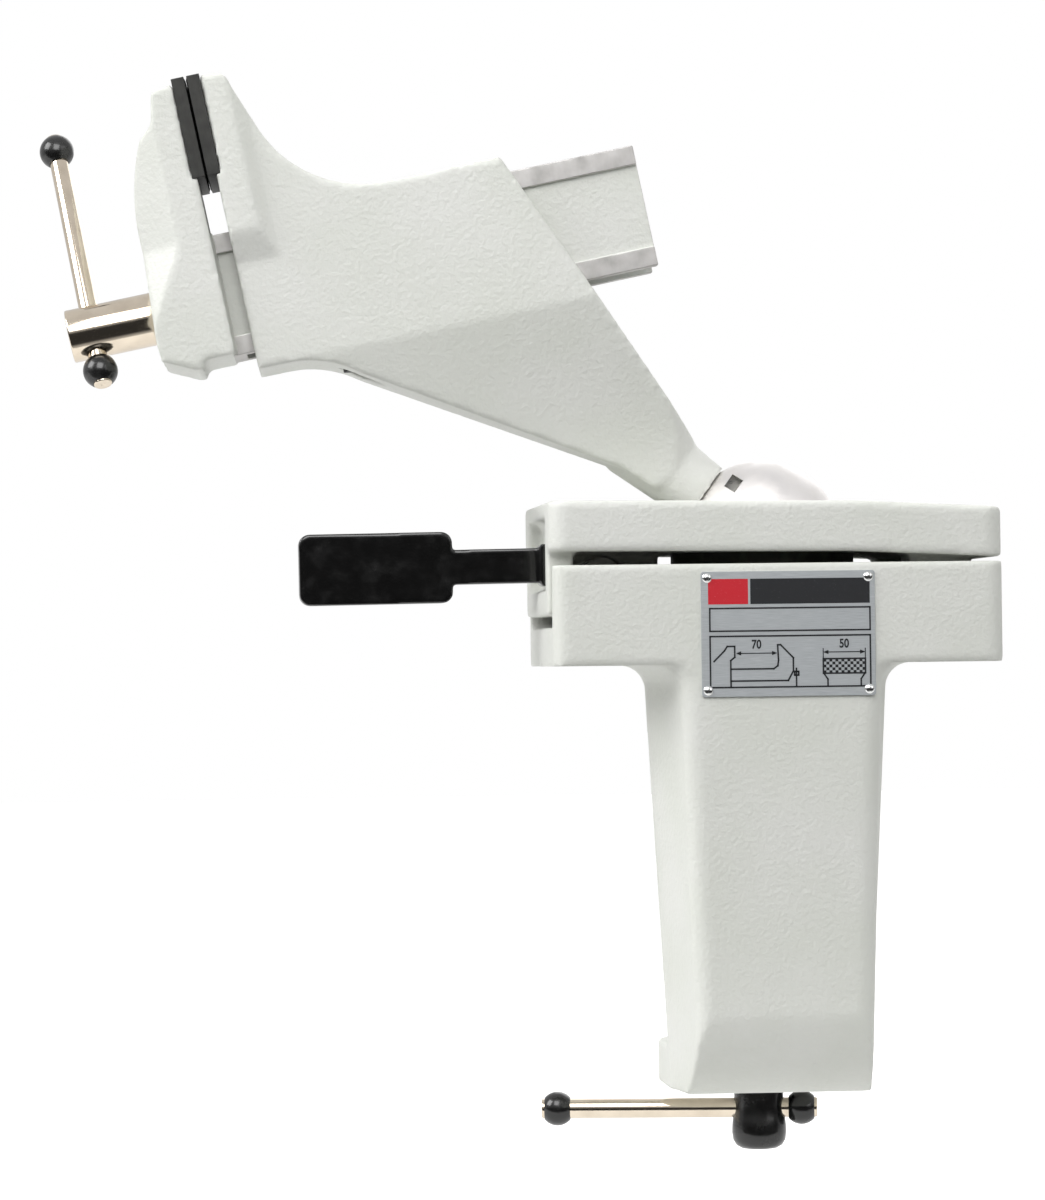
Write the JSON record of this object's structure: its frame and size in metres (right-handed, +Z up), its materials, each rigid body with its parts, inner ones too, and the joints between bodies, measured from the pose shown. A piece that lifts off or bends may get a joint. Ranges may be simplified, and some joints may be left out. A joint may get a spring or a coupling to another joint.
{
  "type": "bench-clamp ball-joint vise",
  "caption": "Small vise on a ball joint: a lever locks the ball under a lid, and a clamp leg with a screw holds it to a bench edge.",
  "frame": {"origin": "on the clamp screw's axis, in the flat underside of the box that rests on the bench", "axes": "+Z up, +X towards the end where the lid is hinged and away from the lock lever, +Y away from the clamp leg, over the bench"},
  "size_m": [0.2585, 0.0823, 0.2978],
  "materials": {
    "powder_coat": "textured pale grey powder coat on a casting",
    "nickel_plate": "bright nickel plating",
    "bare_steel": "bare turned or blanked steel",
    "black_steel": "black oxide, knurled on the gripping faces",
    "black_plastic": "moulded black plastic",
    "vinyl_dip": "glossy dipped vinyl",
    "seat_plastic": "dark low-friction plastic",
    "plate_metal": "brushed and lacquered sheet",
    "rivet_metal": "bright domed heads",
    "pad_rubber": "soft bench pad"
  },
  "bodies": {
    "frame": {"lower_frame": "powder_coat", "nameplate": "plate_metal", "nameplate_rivets": "rivet_metal", "cam_bar": "bare_steel", "lid_hinge_pin": "bare_steel"},
    "lid": {"clamp_lid": "powder_coat"},
    "lever": {"lock_lever": "bare_steel", "cam_drum": "bare_steel", "lever_grip": "vinyl_dip"},
    "seat_ring": {"ball_seat_cup": "seat_plastic"},
    "ball": {"ball": "nickel_plate"},
    "head": {"ball_stem": "bare_steel", "fixed_jaw": "powder_coat", "fixed_jaw_plate": "black_steel", "fixed_jaw_plate_screws": "black_steel", "lead_nut": "bare_steel", "nut_bolt": "bare_steel"},
    "moving_jaw": {"moving_jaw": "powder_coat", "moving_jaw_plate": "black_steel", "moving_jaw_plate_screws": "black_steel", "thrust_washer": "bare_steel"},
    "lead_screw": {"lead_screw": "nickel_plate", "retaining_clip": "bare_steel"},
    "tommy_bar": {"tommy_bar": "nickel_plate", "tommy_knobs": "black_plastic"},
    "clamp_pad": {"clamp_pad": "bare_steel", "pad_face": "pad_rubber", "pad_retaining_ring": "bare_steel"},
    "clamp_screw": {"clamp_screw": "bare_steel", "clamp_screw_cap": "black_plastic"},
    "cross_bar": {"cross_bar": "nickel_plate", "cross_bar_knobs": "black_plastic"}
  },
  "joints": [
    {"name": "lever_turn", "type": "hinge", "parent": "frame", "child": "lever", "pos_m": [-0.0433, -0.022, 0.023], "axis": [0, 1, 0], "range_deg": [0, 21]},
    {"name": "lid_hinge", "type": "hinge", "parent": "frame", "child": "lid", "pos_m": [0.0466, -0.022, 0.018], "axis": [0, 1, 0], "range_deg": [0, 0.55]},
    {"name": "ball_swivel", "type": "hinge", "parent": "frame", "child": "seat_ring", "pos_m": [0, -0.022, 0.0347], "axis": [0, 0, 1], "continuous": true},
    {"name": "ball_tilt", "type": "hinge", "parent": "seat_ring", "child": "ball", "pos_m": [0, -0.022, 0.0347], "axis": [0.0436, 0.999, 0], "range_deg": [0, 104.8]},
    {"name": "ball_roll", "type": "hinge", "parent": "ball", "child": "head", "pos_m": [0, -0.022, 0.0347], "axis": [-0.7915, 0.0346, 0.6101], "continuous": true},
    {"name": "jaw_slide", "type": "slide", "parent": "head", "child": "moving_jaw", "axis": [-0.9786, 0.0427, -0.2011], "range_m": [0, 0.07]},
    {"name": "lead_screw_turn", "type": "hinge", "parent": "moving_jaw", "child": "lead_screw", "pos_m": [-0.18351, -0.01399, 0.09357], "axis": [-0.9786, 0.0427, -0.2011], "range_deg": [0, 8402]},
    {"name": "tommy_slide", "type": "slide", "parent": "lead_screw", "child": "tommy_bar", "axis": [0.1636, -0.4302, -0.8878], "range_m": [0, 0.0464]},
    {"name": "clamp_pad_slide", "type": "slide", "parent": "frame", "child": "clamp_pad", "axis": [0, 0, 1], "range_m": [-0.068, 0]},
    {"name": "clamp_screw_turn", "type": "hinge", "parent": "clamp_pad", "child": "clamp_screw", "pos_m": [0, 0, -0.125], "axis": [0, 0, 1], "range_deg": [-12240, 0]},
    {"name": "cross_bar_slide", "type": "slide", "parent": "clamp_screw", "child": "cross_bar", "axis": [0.9893, -0.1461, 0], "range_m": [0, 0.0446]}
  ],
  "couplings": [
    {"joint": "lid_hinge", "follows": "lever_turn", "ratio": 0.0262},
    {"joint": "lead_screw_turn", "follows": "jaw_slide", "rad_per_m": 2094.4},
    {"joint": "clamp_pad_slide", "follows": "clamp_screw_turn", "m_per_rad": 0.00031831}
  ]
}
